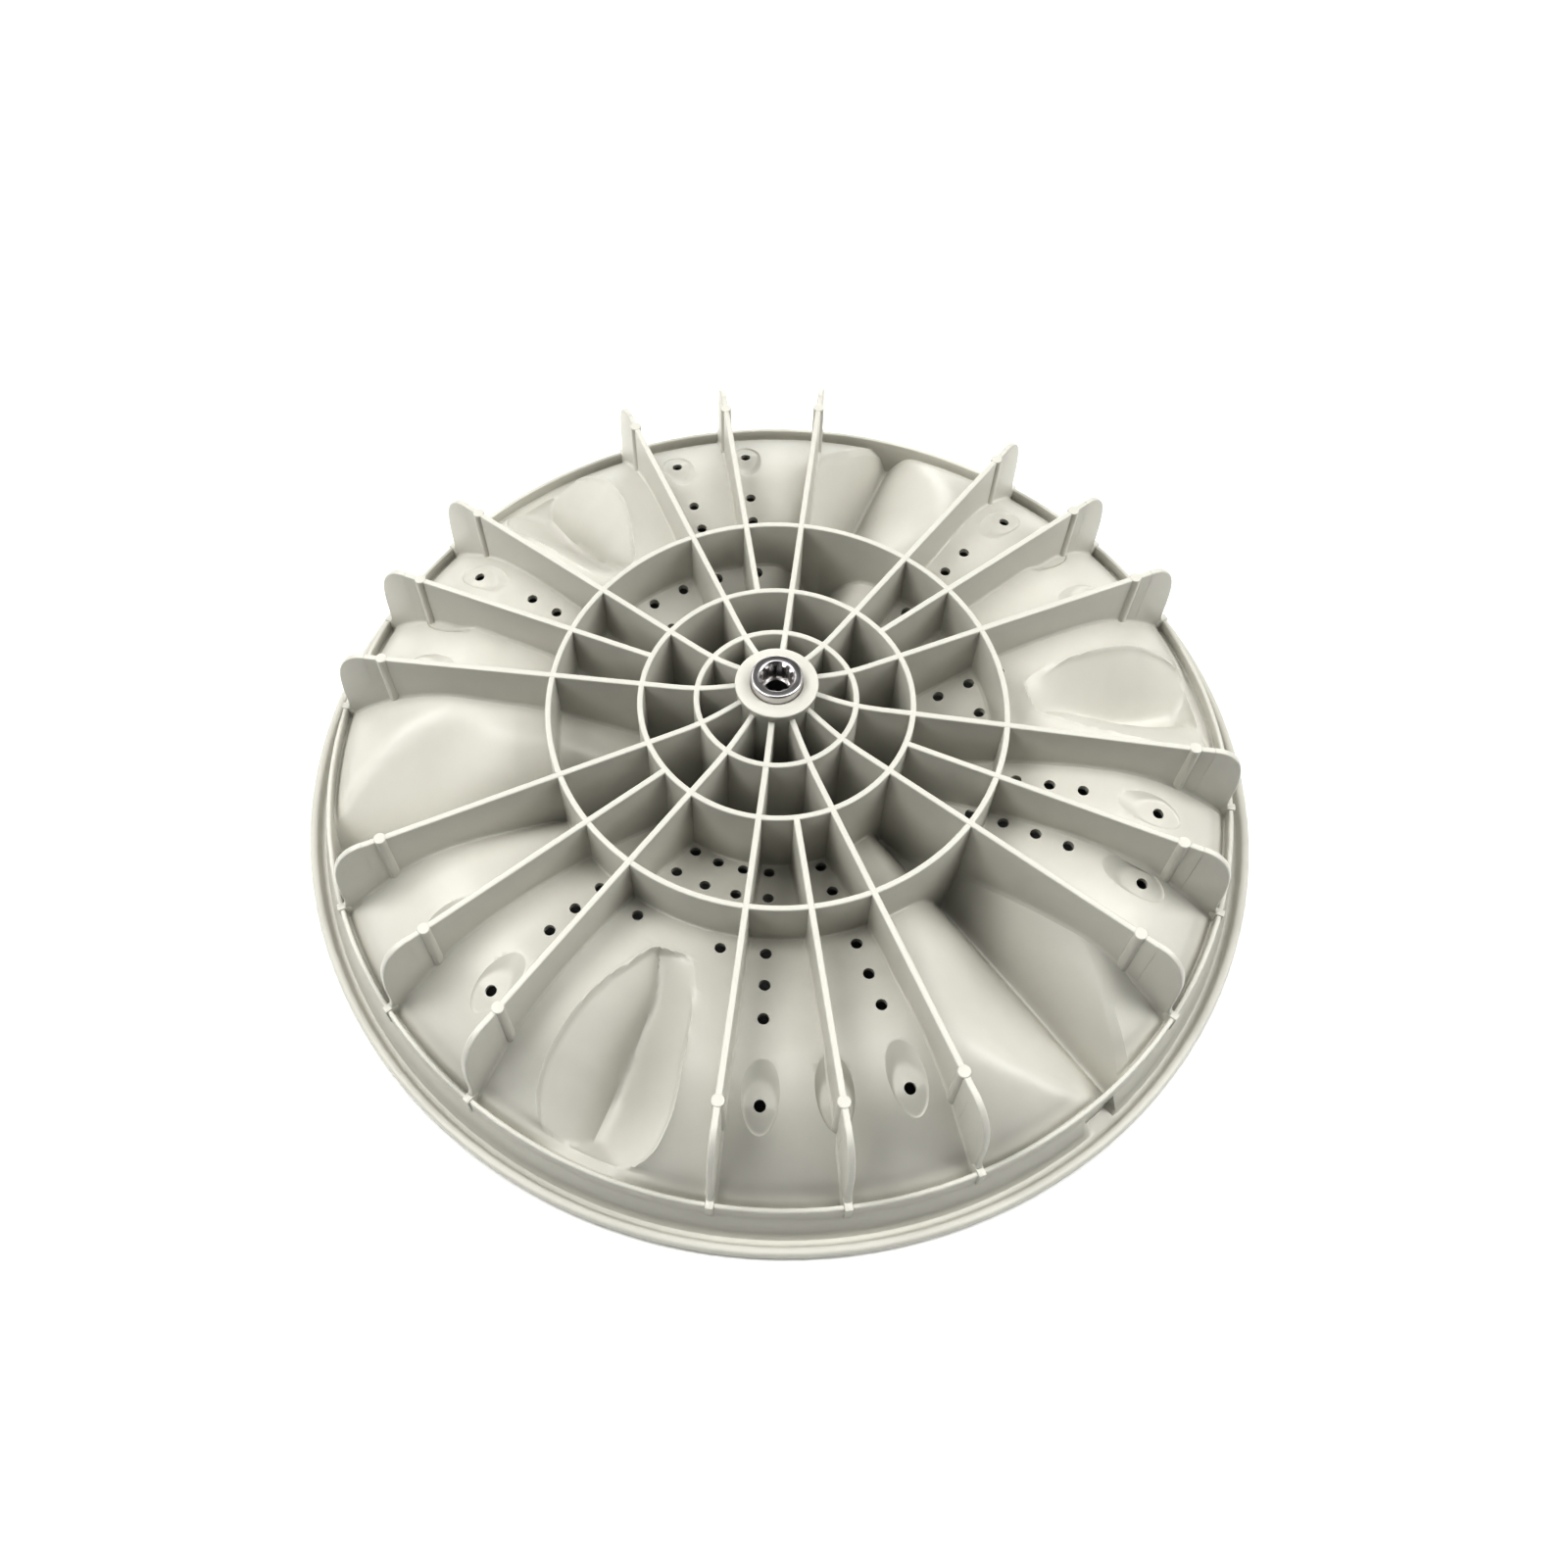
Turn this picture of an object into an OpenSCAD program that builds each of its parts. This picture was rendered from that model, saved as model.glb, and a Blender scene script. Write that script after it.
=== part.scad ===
// Washing machine pulsator, seen with its ribbed underside up.
// One moulded plastic body with a metal insert for the splined shaft.
// The origin is on the axis, level with the three fin ends that it rests on.

/* [Rim] */
// Radius to the middle of the upright rim wall
wall_r = 169.8; // [160:0.2:180]
// Thickness of the rim wall
wall_t = 2.2; // [1.8:0.1:3]
// Height of the rim wall's top edge
wall_top = 20; // [18:0.5:22]
// How far the lip reaches past the rim wall
lip_reach = 11.4; // [10:0.1:14]

/* [Skin] */
// Thickness of the moulded skin
skin_t = 2.3; // [1.8:0.1:3]
// Height of the floor's highest circle
crown_z = 38.4; // [36:0.2:40]
// Radius of the floor's highest circle
crown_r = 117; // [110:1:124]

/* [Ribs] */
// Thickness of a radial rib
rib_t = 2.3; // [1.8:0.1:3]
// Height of the rib tops at the posts
rib_top = 56.2; // [52:0.2:60]
// Radius of the posts that the ribs carry near the rim
post_r = 147.3; // [140:0.1:152]
// Radius of a post itself
post_w = 1.9; // [1.6:0.1:3]
// Angle of the first group's middle rib
first_rib = 100; // [0:1:359]

/* [Rings] */
// Radius of the inner ring
ring_in = 28.6; // [26:0.1:32]
// Radius of the middle ring
ring_mid = 48.9; // [46:0.1:52]
// Radius of the outer ring
ring_out = 82.1; // [78:0.1:86]
// Thickness of the rings
ring_t = 2.2; // [1.8:0.1:3]

/* [Hub] */
// Radius of the hub
hub_r = 14; // [12:0.1:15]
// Height of the hub's flange
hub_top = 68.6; // [66:0.1:74]
// Radius of the metal insert
insert_r = 9.2; // [8.6:0.1:10]
// Height of the metal insert
insert_top = 72.3; // [70:0.1:76]
// Largest radius of the spline
spline_r = 5.8; // [5.2:0.1:6.4]
// Depth of the spline
spline_depth = 8.5; // [6:0.5:14]
// Number of spline teeth
spline_teeth = 11; // [8:1:14]
// Radius of the hole for the fixing bolt
bolt_r = 4.4; // [4.1:0.1:4.6]

/* [Fins] */
// Sideways shift of each fin's valley from the middle of its sector
fin_shift = 12; // [8:0.5:14]
// Steepness of the fin's steep side
fin_slope = 1.45; // [1.2:0.05:1.7]
// Tilt of the fin's valley, falling towards the rim
fin_tilt = 2.4; // [1.5:0.1:3]
// Tilt of the leaf shaped recesses
leaf_tilt = 22.3; // [20:0.1:24]
// Depth of the oval recesses
oval_depth = 1.2; // [0.8:0.1:1.5]

/* [Drain holes] */
// Radius of a drain hole
drain_r = 1.95; // [1.2:0.05:2.2]
// Step between the circles of drain holes
drain_step = 11.85; // [11:0.05:12.5]

/* [Hidden] */
$fn = 64;
steps = 3;
reach = 200;
above = 80;
sector = 60;
spread = 15;
wall_in = wall_r - wall_t / 2;
wall_out = wall_r + wall_t / 2;
channel_z = 8;
insert_foot = 30;
bolt_pocket_r = 10.4;
bolt_pocket_z = 22;
web_r = 5.4;
flange_r = hub_r + 0.8;
flange_t = 1.8;
valley_z = 9.2;
oval_r = crown_r + 20.5;

// Smooth line through a few points
function blend(a, b, c, d, t) = 0.5 * (2 * b + (c - a) * t + (2 * a - 5 * b + 4 * c - d) * t * t
    + (3 * b - a - 3 * c + d) * t * t * t);
function smooth(p) = [
    for (i = [0:len(p) - 2], k = [0:steps - 1])
        blend(p[max(i - 1, 0)], p[i], p[i + 1], p[min(i + 2, len(p) - 1)], k / steps),
    p[len(p) - 1]
];
// Point i of a line, moved square to both of its sides by t
function way(a, b) = (b - a) / norm(b - a);
function beside(p, i, t) = let (
    a = way(p[max(i - 1, 0)], p[max(i, 1)]),
    b = way(p[min(i, len(p) - 2)], p[min(i + 1, len(p) - 1)])
) p[i] + t / (1 + a * b) * [a.y + b.y, -a.x - b.x];

// The floor from the hub to the foot of the rim wall
floor_line = smooth([
    [16, 8.2],
    [30, crown_z - 26.9],
    [42, crown_z - 17.9],
    [52, crown_z - 12.7],
    [77, crown_z - 4.9],
    [crown_r - 14, crown_z - 0.7],
    [crown_r, crown_z],
    [crown_r + 15, crown_z - 1.7],
    [crown_r + 31, crown_z - 7.9],
    [wall_in - 2.6, 15.6],
]);
wash_line = [for (i = [0:len(floor_line) - 1]) beside(floor_line, i, skin_t)];
// The rim below the wall, from the wash side out to the lip and back over it
rim_line = [
    [wall_in + 1.3, 8.7],
    [wall_out + 1.4, 6.4],
    [wall_out + 5.1, 5.4],
    [wall_out + lip_reach - 2.3, 5.6],
    [wall_out + lip_reach - 0.6, 6.7],
    [wall_out + lip_reach, 8.6],
    [wall_out + lip_reach - 0.5, 10.3],
    [wall_out + lip_reach - 2.8, 11.4],
    [wall_out + lip_reach - 5.3, 10.8],
    [wall_out + lip_reach - 6.5, channel_z],
    [wall_out + 0.4, channel_z + 4],
];

// Angle of each group of three ribs, and of the sectors between the groups
function group_angle(g) = first_rib - g * sector;
function fin_angle(g) = group_angle(2 * g) - sector / 2;
function leaf_angle(g) = group_angle(2 * g) + sector / 2;

// Solid block under the underside's tallest parts, with the rim turned on it
module envelope() {
    rotate_extrude() polygon(concat(
        [[0, 5.9]], wash_line, rim_line, [[wall_out, above - 4], [0, above - 4]]
    ));
}

// Open room above the floor and inside the rim wall
module room() {
    rotate_extrude() polygon(concat(
        [[0, 8.2]], floor_line,
        [[wall_in - 0.9, 12], [wall_in, 12.6], [wall_in, wall_top], [wall_out + 1.5, wall_top],
        [wall_out + 1.5, above], [0, above]]
    ));
}

// Section of a fin: long convex side, flat strip, steep side, from left to right
fin_side = [for (t = [42, 33, 25, 18, 12, 7, 3]) [-t, 33 * (1 - exp(-t / 10.5))]];
fin_line = concat(
    [for (p = fin_side) p + [fin_shift - 1.6, 0]],
    [[fin_shift - 1.6, 0], [fin_shift + 1.6, 0], [fin_shift + 1.6 + 36 / fin_slope, 36]]
);
fin_under = [for (i = [0:len(fin_line) - 1]) beside(fin_line, i, skin_t + 0.2)];

// Prism along a fin with the given section, between two radii
module fin_prism(line, r_from, r_to) {
    last = len(line) - 1;
    intersection() {
        rotate([0, fin_tilt, 0])
            translate([0, 0, valley_z])
            rotate([90, 0, 90])
            linear_extrude(height = reach)
            polygon(concat([[line[0].x, 60]], line, [[line[last].x, 60]]));
        difference() {
            translate([0, 0, -20]) cylinder(r = r_to, h = 100);
            translate([0, 0, -30]) cylinder(r = r_from, h = 120);
        }
    }
}

// Section of a leaf recess: steep beside its crease and shallow further out
leaf_line = [[-41, 25], [-5, 5.6], [-1.2, 0], [1.2, 0], [5, 5.6], [41, 25]];
leaf_under = [for (i = [0:len(leaf_line) - 1]) beside(leaf_line, i, skin_t + 0.1)];

// Prism along a leaf with the given section, closed by an end face near the rim
module leaf_prism(line, drop, grow) {
    intersection() {
        translate([92, 0, crown_z - 1.6])
            rotate([0, leaf_tilt, 0])
            rotate([90, 0, 90])
            translate([0, 0, -30 - grow])
            linear_extrude(height = 120)
            polygon(concat([[line[0].x, 30]], line, [[line[5].x, 30]]));
        rotate([90, 0, 0])
            translate([0, 0, -40])
            linear_extrude(height = 80)
            polygon([[60, 70], [60, 11 - drop], [155 + grow, 11 - drop],
                [wall_in - 1 + grow, 17.4 - drop], [wall_in - 1 + grow, 70]]);
        translate([0, 0, -20]) cylinder(r = wall_in - 0.4 + grow / 4, h = 100);
    }
}

module rib_plate(r_from) {
    translate([0, rib_t / 2, 0])
        rotate([90, 0, 0])
        linear_extrude(height = rib_t)
        polygon([
            [r_from, -10],
            [r_from, r_from < ring_in ? rib_top + 9 : rib_top + 2.2],
            if (r_from < ring_in) [ring_in, rib_top + 3.4],
            [ring_mid, rib_top + 2.2],
            [ring_out, rib_top + 1.5],
            [post_r, rib_top],
            [post_r + 9, rib_top],
            [post_r + 12.7, rib_top - 0.8],
            [post_r + 15.6, rib_top - 3.4],
            [post_r + 18.5, rib_top - 8.6],
            [wall_in - 0.4, wall_top + 5],
            [wall_in + 0.6, wall_top - 1],
            [wall_in + 0.6, -10],
        ]);
}

// One of the 18 ribs, with its post and the small tab over the rim wall
module rib(middle) {
    rib_plate(middle ? ring_mid : insert_r + 1.7);
    translate([post_r, 0, 0]) cylinder(r = post_w, h = rib_top - 0.3, $fn = 24);
}

module tab() {
    translate([wall_in - 1.6, -1.6, channel_z + 1]) cube([5.4, 3.2, wall_top - channel_z - 0.4]);
}

module ring(r, top) {
    difference() {
        cylinder(r = r + ring_t / 2, h = top);
        translate([0, 0, -1]) cylinder(r = r - ring_t / 2, h = top + 2);
    }
}

// Ribs, rings and hub, before the floor's shape is cut under them
module framework() {
    for (g = [0:5], k = [-1:1]) rotate([0, 0, group_angle(g) + k * spread]) rib(k == 0);
    ring(ring_in, rib_top + 3.4);
    ring(ring_mid, rib_top + 2.2);
    ring(ring_out, rib_top + 1.4);
    cylinder(r = hub_r, h = hub_top - 1);
    translate([0, 0, hub_top - flange_t]) cylinder(r = flange_r, h = flange_t);
}

// Raised pad in the rim channel beside each fin, ending in a step
module rim_pad() {
    difference() {
        translate([0, 0, 6.2]) cylinder(r = wall_out + 6, h = 6);
        translate([0, 0, 0]) cylinder(r = wall_out - 1, h = 30);
        rotate([0, 0, 2.7]) translate([-reach, 0, 0]) cube([2 * reach, reach, 40]);
        rotate([0, 0, -6]) translate([-reach, -reach, 0]) cube([2 * reach, reach, 40]);
        rotate([0, 0, -6]) translate([-reach, -reach, 0]) cube([reach, 2 * reach, 40]);
    }
}

// A drain hole through the skin only, at radius r and angle a
module drain(r, a) {
    rotate([0, 0, a])
        translate([r, 0, -1])
        cylinder(r = drain_r, h = lookup(r, floor_line) + 2, $fn = 14);
}

// Rows of drain holes that end in an oval recess: angle, first and last circle
oval_rows = [for (g = [0:2]) each [
    [group_angle(2 * g) - 3, 2, 5],
    [group_angle(2 * g) + 9, 0, 5],
    [group_angle(2 * g + 1) - 10, 0, 5],
    [group_angle(2 * g + 1), 4, 5],
    [group_angle(2 * g + 1) + 10, 0, 5],
]];

// Oval recesses round the outermost drain holes, sunk evenly into the curved floor
oval_floor = [for (i = [0:len(floor_line) - 1])
    if (floor_line[i].x > oval_r - 18 && floor_line[i].x < oval_r + 18) beside(floor_line, i, oval_depth)];
module ovals() {
    intersection() {
        rotate_extrude() polygon(concat(oval_floor, [[oval_r + 14, above / 2 + 5], [oval_r - 14, above / 2 + 5]]));
        for (row = oval_rows)
            rotate([0, 0, row[0]])
            translate([oval_r, 0, 20])
            linear_extrude(height = 22)
            polygon([for (i = [0:19]) [11.8 * cos(i * 18 + 4), 6.2 * sin(i * 18 + 4)]]);
    }
}

// Row of drain holes at angle a on the given circles
module drain_row(a, first, last) {
    for (i = [first:last]) drain(53.8 + i * drain_step, a);
}

module drains() {
    for (row = oval_rows) {
        drain_row(row[0], row[1], row[2]);
        drain(oval_r + 3.2, row[0]);
    }
    for (g = [0:2], k = [-1:1]) drain_row(leaf_angle(g) + k * 10, 0, k == 0 ? 2 : 3);
}

// The whole moulding: skin, rim, ribs, rings and hub in one piece
module pulsator_body() {
    color([0.9, 0.89, 0.84]) difference() {
        union() {
            envelope();
            for (g = [0:2]) {
                rotate([0, 0, fin_angle(g)]) fin_prism(fin_under, ring_mid - 2.2, wall_out + 0.6);
                rotate([0, 0, leaf_angle(g)]) leaf_prism(leaf_under, 2.9, 2.2);
                rotate([0, 0, fin_angle(g)]) rim_pad();
            }
            for (g = [0:5], k = [-1:1]) rotate([0, 0, group_angle(g) + k * spread]) tab();
        }
        difference() {
            union() {
                room();
                for (g = [0:2]) {
                    rotate([0, 0, fin_angle(g)]) fin_prism(fin_line, ring_mid, wall_in - 0.3);
                    rotate([0, 0, leaf_angle(g)]) leaf_prism(leaf_line, 0, 0);
                }
                ovals();
            }
            framework();
        }
        drains();
        translate([0, 0, -50]) cylinder(r = reach, h = 50);
        translate([0, 0, -1]) cylinder(r = bolt_pocket_r, h = bolt_pocket_z + 1);
        translate([0, 0, bolt_pocket_z - 1]) cylinder(r = web_r, h = 20);
        translate([0, 0, insert_foot]) cylinder(r = insert_r, h = 60);
    }
}

// Metal insert moulded into the hub: spline above, bolt hole below
module spline_insert() {
    ledge = insert_top - spline_depth;
    color([0.76, 0.77, 0.79]) difference() {
        translate([0, 0, insert_foot]) cylinder(r = insert_r, h = insert_top - insert_foot);
        translate([0, 0, insert_foot - 1]) cylinder(r = bolt_r, h = above);
        translate([0, 0, ledge])
            linear_extrude(height = spline_depth + 1)
            polygon([for (i = [0:4 * spline_teeth - 1])
                let (r = (i % 4) < 2 ? spline_r : spline_r - 0.6, a = (i + 0.5) * 90 / spline_teeth)
                [r * cos(a), r * sin(a)]]);
    }
}

pulsator_body();
spline_insert();
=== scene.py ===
import math

import bmesh
import bpy
import numpy as np
from mathutils import Matrix, Vector


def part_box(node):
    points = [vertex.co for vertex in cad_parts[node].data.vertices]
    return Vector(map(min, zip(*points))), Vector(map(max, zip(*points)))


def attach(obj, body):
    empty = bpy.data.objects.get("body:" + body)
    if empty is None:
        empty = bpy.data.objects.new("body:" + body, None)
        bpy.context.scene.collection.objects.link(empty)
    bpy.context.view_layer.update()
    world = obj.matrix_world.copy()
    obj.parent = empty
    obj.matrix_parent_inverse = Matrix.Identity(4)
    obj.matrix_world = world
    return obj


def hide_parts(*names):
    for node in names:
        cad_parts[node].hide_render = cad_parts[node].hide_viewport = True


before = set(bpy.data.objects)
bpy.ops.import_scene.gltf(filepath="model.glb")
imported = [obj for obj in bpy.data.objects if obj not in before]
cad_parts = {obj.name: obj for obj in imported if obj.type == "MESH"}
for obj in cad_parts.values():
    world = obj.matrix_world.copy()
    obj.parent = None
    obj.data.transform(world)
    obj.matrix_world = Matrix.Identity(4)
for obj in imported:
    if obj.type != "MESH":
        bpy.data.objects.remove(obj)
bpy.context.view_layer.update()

mm = 0.001
scene = bpy.context.scene

# Camera: it looks down on the ribbed side from the front, a little to the left of the axis.
# The picture's centre lies right of and below the lens axis, as in the photograph.
camera_data = bpy.data.cameras.new("camera")
camera_data.lens = 31.66
camera_data.sensor_width = 36
camera_data.shift_x = 0.0590
camera_data.shift_y = -0.0176
camera_data.clip_start = 0.01
camera = bpy.data.objects.new("camera", camera_data)
scene.collection.objects.link(camera)
camera_place = Vector((0, -275.3, 470.5)) * mm
camera_aim = Vector((-31.40, -2.58, 20)) * mm
camera_roll = math.radians(-3.329)
look = (camera_aim - camera_place).to_track_quat("-Z", "Y").to_matrix().to_4x4()
camera.matrix_world = Matrix.Translation(camera_place) @ look @ Matrix.Rotation(camera_roll, 4, "Z")
scene.camera = camera
scene.view_settings.view_transform = "Standard"
scene.view_settings.gamma = 0.667

# Studio: a white table that fades into pure white, under a tent of round soft lights. They stand
# overhead, at both sides and behind, and almost none stands in front, as in the photograph.
table_mesh = bpy.data.meshes.new("table")
table_half = 3.0
table_mesh.from_pydata(
    [(-table_half, -table_half, 0), (table_half, -table_half, 0),
     (table_half, table_half, 0), (-table_half, table_half, 0)],
    [], [(0, 1, 2, 3)],
)
table = bpy.data.objects.new("table", table_mesh)
table.location.z = -0.2 * mm
scene.collection.objects.link(table)

table_finish = bpy.data.materials.new("white_table")
table_finish.use_nodes = True
table_shader = table_finish.node_tree.nodes["Principled BSDF"]
table_shader.inputs["Base Color"].default_value = (0.93, 0.93, 0.92, 1)
table_shader.inputs["Roughness"].default_value = 0.9
table_mesh.materials.append(table_finish)

world = bpy.data.worlds.new("room")
world.use_nodes = True
world.node_tree.nodes["Background"].inputs["Color"].default_value = (1.0, 1.0, 0.98, 1)
world.node_tree.nodes["Background"].inputs["Strength"].default_value = 0.01
scene.world = world


def softbox(name, around, up, power):
    """A round soft light 1.6 m from the object, at an angle round it and an angle up from the table."""
    data = bpy.data.lights.new(name, "AREA")
    data.shape = "DISK"
    data.size = 0.8
    data.energy = power
    lamp = bpy.data.objects.new(name, data)
    a, e = math.radians(around), math.radians(up)
    lamp.location = Vector((math.cos(e) * math.cos(a), math.cos(e) * math.sin(a), math.sin(e))) * 1.6
    lamp.rotation_euler = (-lamp.location).to_track_quat("-Z", "Y").to_euler()
    scene.collection.objects.link(lamp)


softbox("overhead", 0, 85, 6.4)
softbox("high_right", 0, 60, 8.6)
softbox("high_left", 180, 60, 13.8)
softbox("right", 0, 38, 9.2)
softbox("right_back", 45, 38, 3.6)
softbox("left_back", 135, 38, 6.0)
softbox("left_front", 225, 38, 5.4)
softbox("low_right", 0, 14, 2.0)
softbox("low_back", 90, 14, 5.0)
softbox("low_left", 180, 14, 5.2)


# The moulding's skin: the ribbed side's floor, the wash side under it, the rim wall, the channel
# and the rolled lip are one shell of off-white polypropylene about 2.3 mm thick, from one mould.
body_lo, body_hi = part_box("pulsator_body")
rim_r = body_hi.x
wall_out = rim_r - 11.4 * mm
wall_in = wall_out - 1.7 * mm
wall_top = 19.4 * mm
skin_t = 2.3 * mm
hub_r = 14 * mm
ring_in, ring_mid, ring_out = 28.6 * mm, 48.9 * mm, 82.1 * mm
first_rib = math.radians(100)
group_step = math.radians(60)
rib_step = math.radians(15)
sides = 3
third = 2 * math.pi / sides
fin_angle = first_rib - group_step / 2
leaf_from_fin = group_step

floor_line = np.array([
    (14, 8.2), (22, 8.8), (30, 11.5), (36, 16), (42, 20.5), (50, 25), (58, 27.7), (66, 30.2), (77, 33.5),
    (89, 36.3), (101, 37.7), (113, 38.4), (122, 38.3), (130, 37.2), (140, 34.4), (147, 31), (154, 26.6),
    (161.5, 21.3), (164.5, 18.6), (166.6, 16.6), (167.6, 15.3), (168.4, 14.2), (169.2, 14.2),
]) * mm
wash_line = np.array([
    (0, 5.9), (16, 5.9), (24, 7.0), (31.4, 9.9), (37.4, 14.2), (43.4, 18.8), (50.8, 22.9), (58.8, 25.4),
    (66.6, 27.9), (77.6, 31.2), (89.4, 34), (101, 35.4), (113, 36.1), (121.6, 36.0), (129.4, 34.9),
    (139, 32.2), (145.7, 29.0), (152.4, 24.8), (159.5, 19.6), (164, 14.8), (167, 11.2), (170, 8.7),
]) * mm


def smooth_line(points, x):
    """Height at x on a smooth curve through the points, which never swings past them."""
    px, py = points[:, 0], points[:, 1]
    step = np.diff(py) / np.diff(px)
    slope = np.zeros(len(px))
    same = step[1:] * step[:-1] > 0
    slope[1:-1][same] = (2 * step[1:] * step[:-1] / (step[1:] + step[:-1] + 1e-12))[same]
    slope[0], slope[-1] = step[0], step[-1]
    i = np.clip(np.searchsorted(px, x) - 1, 0, len(px) - 2)
    h = px[i + 1] - px[i]
    t = np.clip((x - px[i]) / h, 0, 1)
    return ((2 * t**3 - 3 * t**2 + 1) * py[i] + (t**3 - 2 * t**2 + t) * h * slope[i]
            + (3 * t**2 - 2 * t**3) * py[i + 1] + (t**3 - t**2) * h * slope[i + 1])


def soft_min(a, b, blend):
    """The lower of two heights, rounded over where they meet."""
    near = np.maximum(blend - np.abs(a - b), 0) / blend
    return np.minimum(a, b) - near * near * blend / 4


def ease(x, start, end):
    """0 before start, 1 after end, and smooth between them."""
    t = np.clip((x - start) / (end - start), 0, 1)
    return t * t * (3 - 2 * t)


def soft_ramp(x, width):
    """x where it is positive and 0 where it is negative, with a soft knee."""
    return width * np.logaddexp(0, x / width)


def fin_height(along, across, widen, drop):
    """Surface of a fin's trough: flat strip, steep straight side and long rounded side."""
    strip = smooth_line(np.array([(40, 7.3), (66, 6.9), (83, 6.5), (104, 5.8), (125, 5.0), (146, 3.6), (172, 1.7)]) * mm,
                        along)
    right = soft_ramp(across - (13.6 * mm + widen * 0.8), 0.25 * mm)
    left = soft_ramp(12.2 * mm - widen * 0.75 - across, 0.25 * mm)
    rise_in = 33 * mm * (1 - np.exp(-left / (10.5 * mm)))
    rise_out = 6.5 * mm * (1 - np.exp(-left / (4 * mm))) + 0.76 * left
    steep = 40 * mm * (1 - np.exp(-right / (13 * mm)))
    return strip - drop + steep + rise_in + (rise_out - rise_in) * ease(along, 95 * mm, 130 * mm)


def fin_blend(r, across):
    """How widely a fin's trough is rounded into the floor: more on its long side near the rim."""
    return 3 * mm + 1.5 * mm * ease(r, 95 * mm, 140 * mm) * ease(-across, -9 * mm, 0)


leaf_width = np.array([
    (52, 7), (82, 6), (92, 5), (94.5, 4.5), (96.5, 6), (100, 8.5), (106.5, 11.6), (113, 14.9), (119.5, 17.1),
    (127, 19.2), (134.5, 20.9), (141, 22.1), (147, 22.9), (152, 22.6), (156.5, 21.9), (160, 20.3), (163, 18),
    (165.4, 15.3), (168, 14), (176, 14),
]) * mm
leaf_fall = np.array([
    (52, 0), (93, 0), (95.2, 0.6), (97, 2.0), (100, 5.1), (104, 8.4), (108, 11.3), (114, 15.1), (121, 18.8),
    (128, 22), (134, 24), (142, 24), (150, 20.8), (154, 18.2), (158, 15.6), (162, 12.8), (166, 9.5), (176, 2),
]) * mm
leaf_ledge_z = 14.4 * mm


def leaf_depth(r, angle, surface, widen, drop):
    """How far a leaf shaped recess lies under the surface round it: a V with a swollen border."""
    across = r * np.sin(np.clip(angle, -0.5, 0.5)) - 1.8 * mm * (1 - ease(r, 100 * mm, 130 * mm))
    width = smooth_line(leaf_width, r)
    crease = -4.6 * mm * (1 - ease(r, 95 * mm, 112 * mm))
    off = across - crease
    reach = np.maximum(width - crease * np.sign(off), 1.5 * mm)
    side = np.maximum(np.abs(off) - 0.8 * mm - widen, 0) / (reach - 0.8 * mm)
    steep_side = 0.35 * np.exp(-side / 0.16) + 0.65 * (1 - side)
    flat_side = 1 - 1.12 * side**2 / (side + 0.12)
    depth = smooth_line(leaf_fall, r) * np.where(off < 0, steep_side, flat_side)
    end_face = 8.6 * mm + 0.86 * np.clip(r - 158 * mm, 0, 6.5 * mm)
    depth = soft_min(depth, surface - end_face + drop, 2.5 * mm)
    inside = soft_min(width - np.abs(across), 164.8 * mm - r, 3 * mm)
    inside = soft_min(inside, r - 96.2 * mm + 0.15 * across, 2 * mm) + widen
    depth = np.maximum(depth, 0) * ease(inside, -0.4 * mm, 0.4 * mm)
    if widen > 0:
        return depth
    left = 1 - ease(across, -4 * mm, 4 * mm)
    swell = (1.0 + 0.7 * left) * (1 - 0.6 * ease(r, 160 * mm, 165 * mm)) * mm
    swell = swell * np.exp(-np.maximum(-inside, 0) / ((1.4 + 1.8 * left) * mm))
    swell = swell * (1 - np.clip(inside / (1.0 * mm), 0, 1))
    ledge = (surface - leaf_ledge_z) * ease(r, 162.6 * mm, 164.8 * mm)
    ledge = ledge * (1 - ease(np.abs(across), 7 * mm, 24 * mm))
    return np.maximum(depth, ledge) - swell


def floor_height(r, angle):
    """Height of the floor under the ribs at a radius and an angle from a fin's centre line."""
    fin_a = (angle + third / 2) % third - third / 2
    leaf_a = (angle - leaf_from_fin + third / 2) % third - third / 2
    z = smooth_line(floor_line, r)
    deep = 60 * mm * (1 - ease(r, ring_mid - 0.9 * mm, ring_mid + 0.9 * mm))
    fin = fin_height(r * np.cos(fin_a), r * np.sin(fin_a), 0, 0) + deep
    z = soft_min(z, fin, fin_blend(r, r * np.sin(fin_a)))
    return z - leaf_depth(r, leaf_a, z, 0, 0)


def wash_height(r, angle):
    """Height of the wash side's surface, which follows the floor a skin's thickness below it."""
    fin_a = (angle + third / 2) % third - third / 2
    leaf_a = (angle - leaf_from_fin + third / 2) % third - third / 2
    z = smooth_line(wash_line, r)
    deep = 60 * mm * (1 - ease(r, 38 * mm, 53 * mm))
    fin = fin_height(r * np.cos(fin_a), r * np.sin(fin_a), skin_t, skin_t) + deep
    z = soft_min(z, fin, fin_blend(r, r * np.sin(fin_a)))
    ahead = r + 0.8 * mm * (1 - ease(r, 100 * mm, 125 * mm))
    return np.maximum(z - leaf_depth(ahead, leaf_a, z, 1.4 * mm, 2.6 * mm), 0)


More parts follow.
